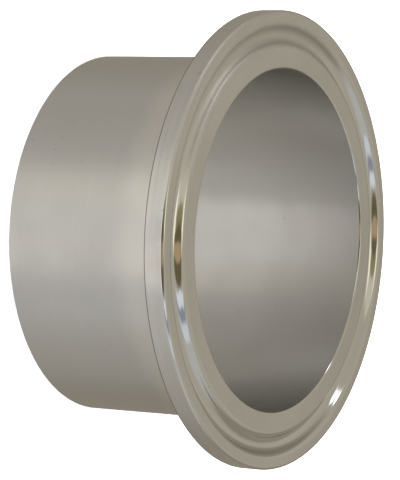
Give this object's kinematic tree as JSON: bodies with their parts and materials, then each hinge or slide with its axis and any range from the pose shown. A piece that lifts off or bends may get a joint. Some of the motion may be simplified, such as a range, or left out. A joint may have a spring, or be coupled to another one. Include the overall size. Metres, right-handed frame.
{
  "type": "sanitary clamp ferrule",
  "caption": "Short stainless tube end with a clamp flange: gasket groove in its face, sloped back for a clamp ring, square end for butt welding.",
  "frame": {"origin": "centre of the weld end, which the ferrule stands on", "axes": "+Z along the ferrule's axis, from the weld end towards the clamp face; the ferrule is turned, so X and Y are any two directions across it"},
  "size_m": [0.0639, 0.0638, 0.0286],
  "materials": {
    "stainless_steel": "satin turned, with a brighter face and groove"
  },
  "bodies": {
    "root": {"ferrule": "stainless_steel"}
  },
  "joints": []
}
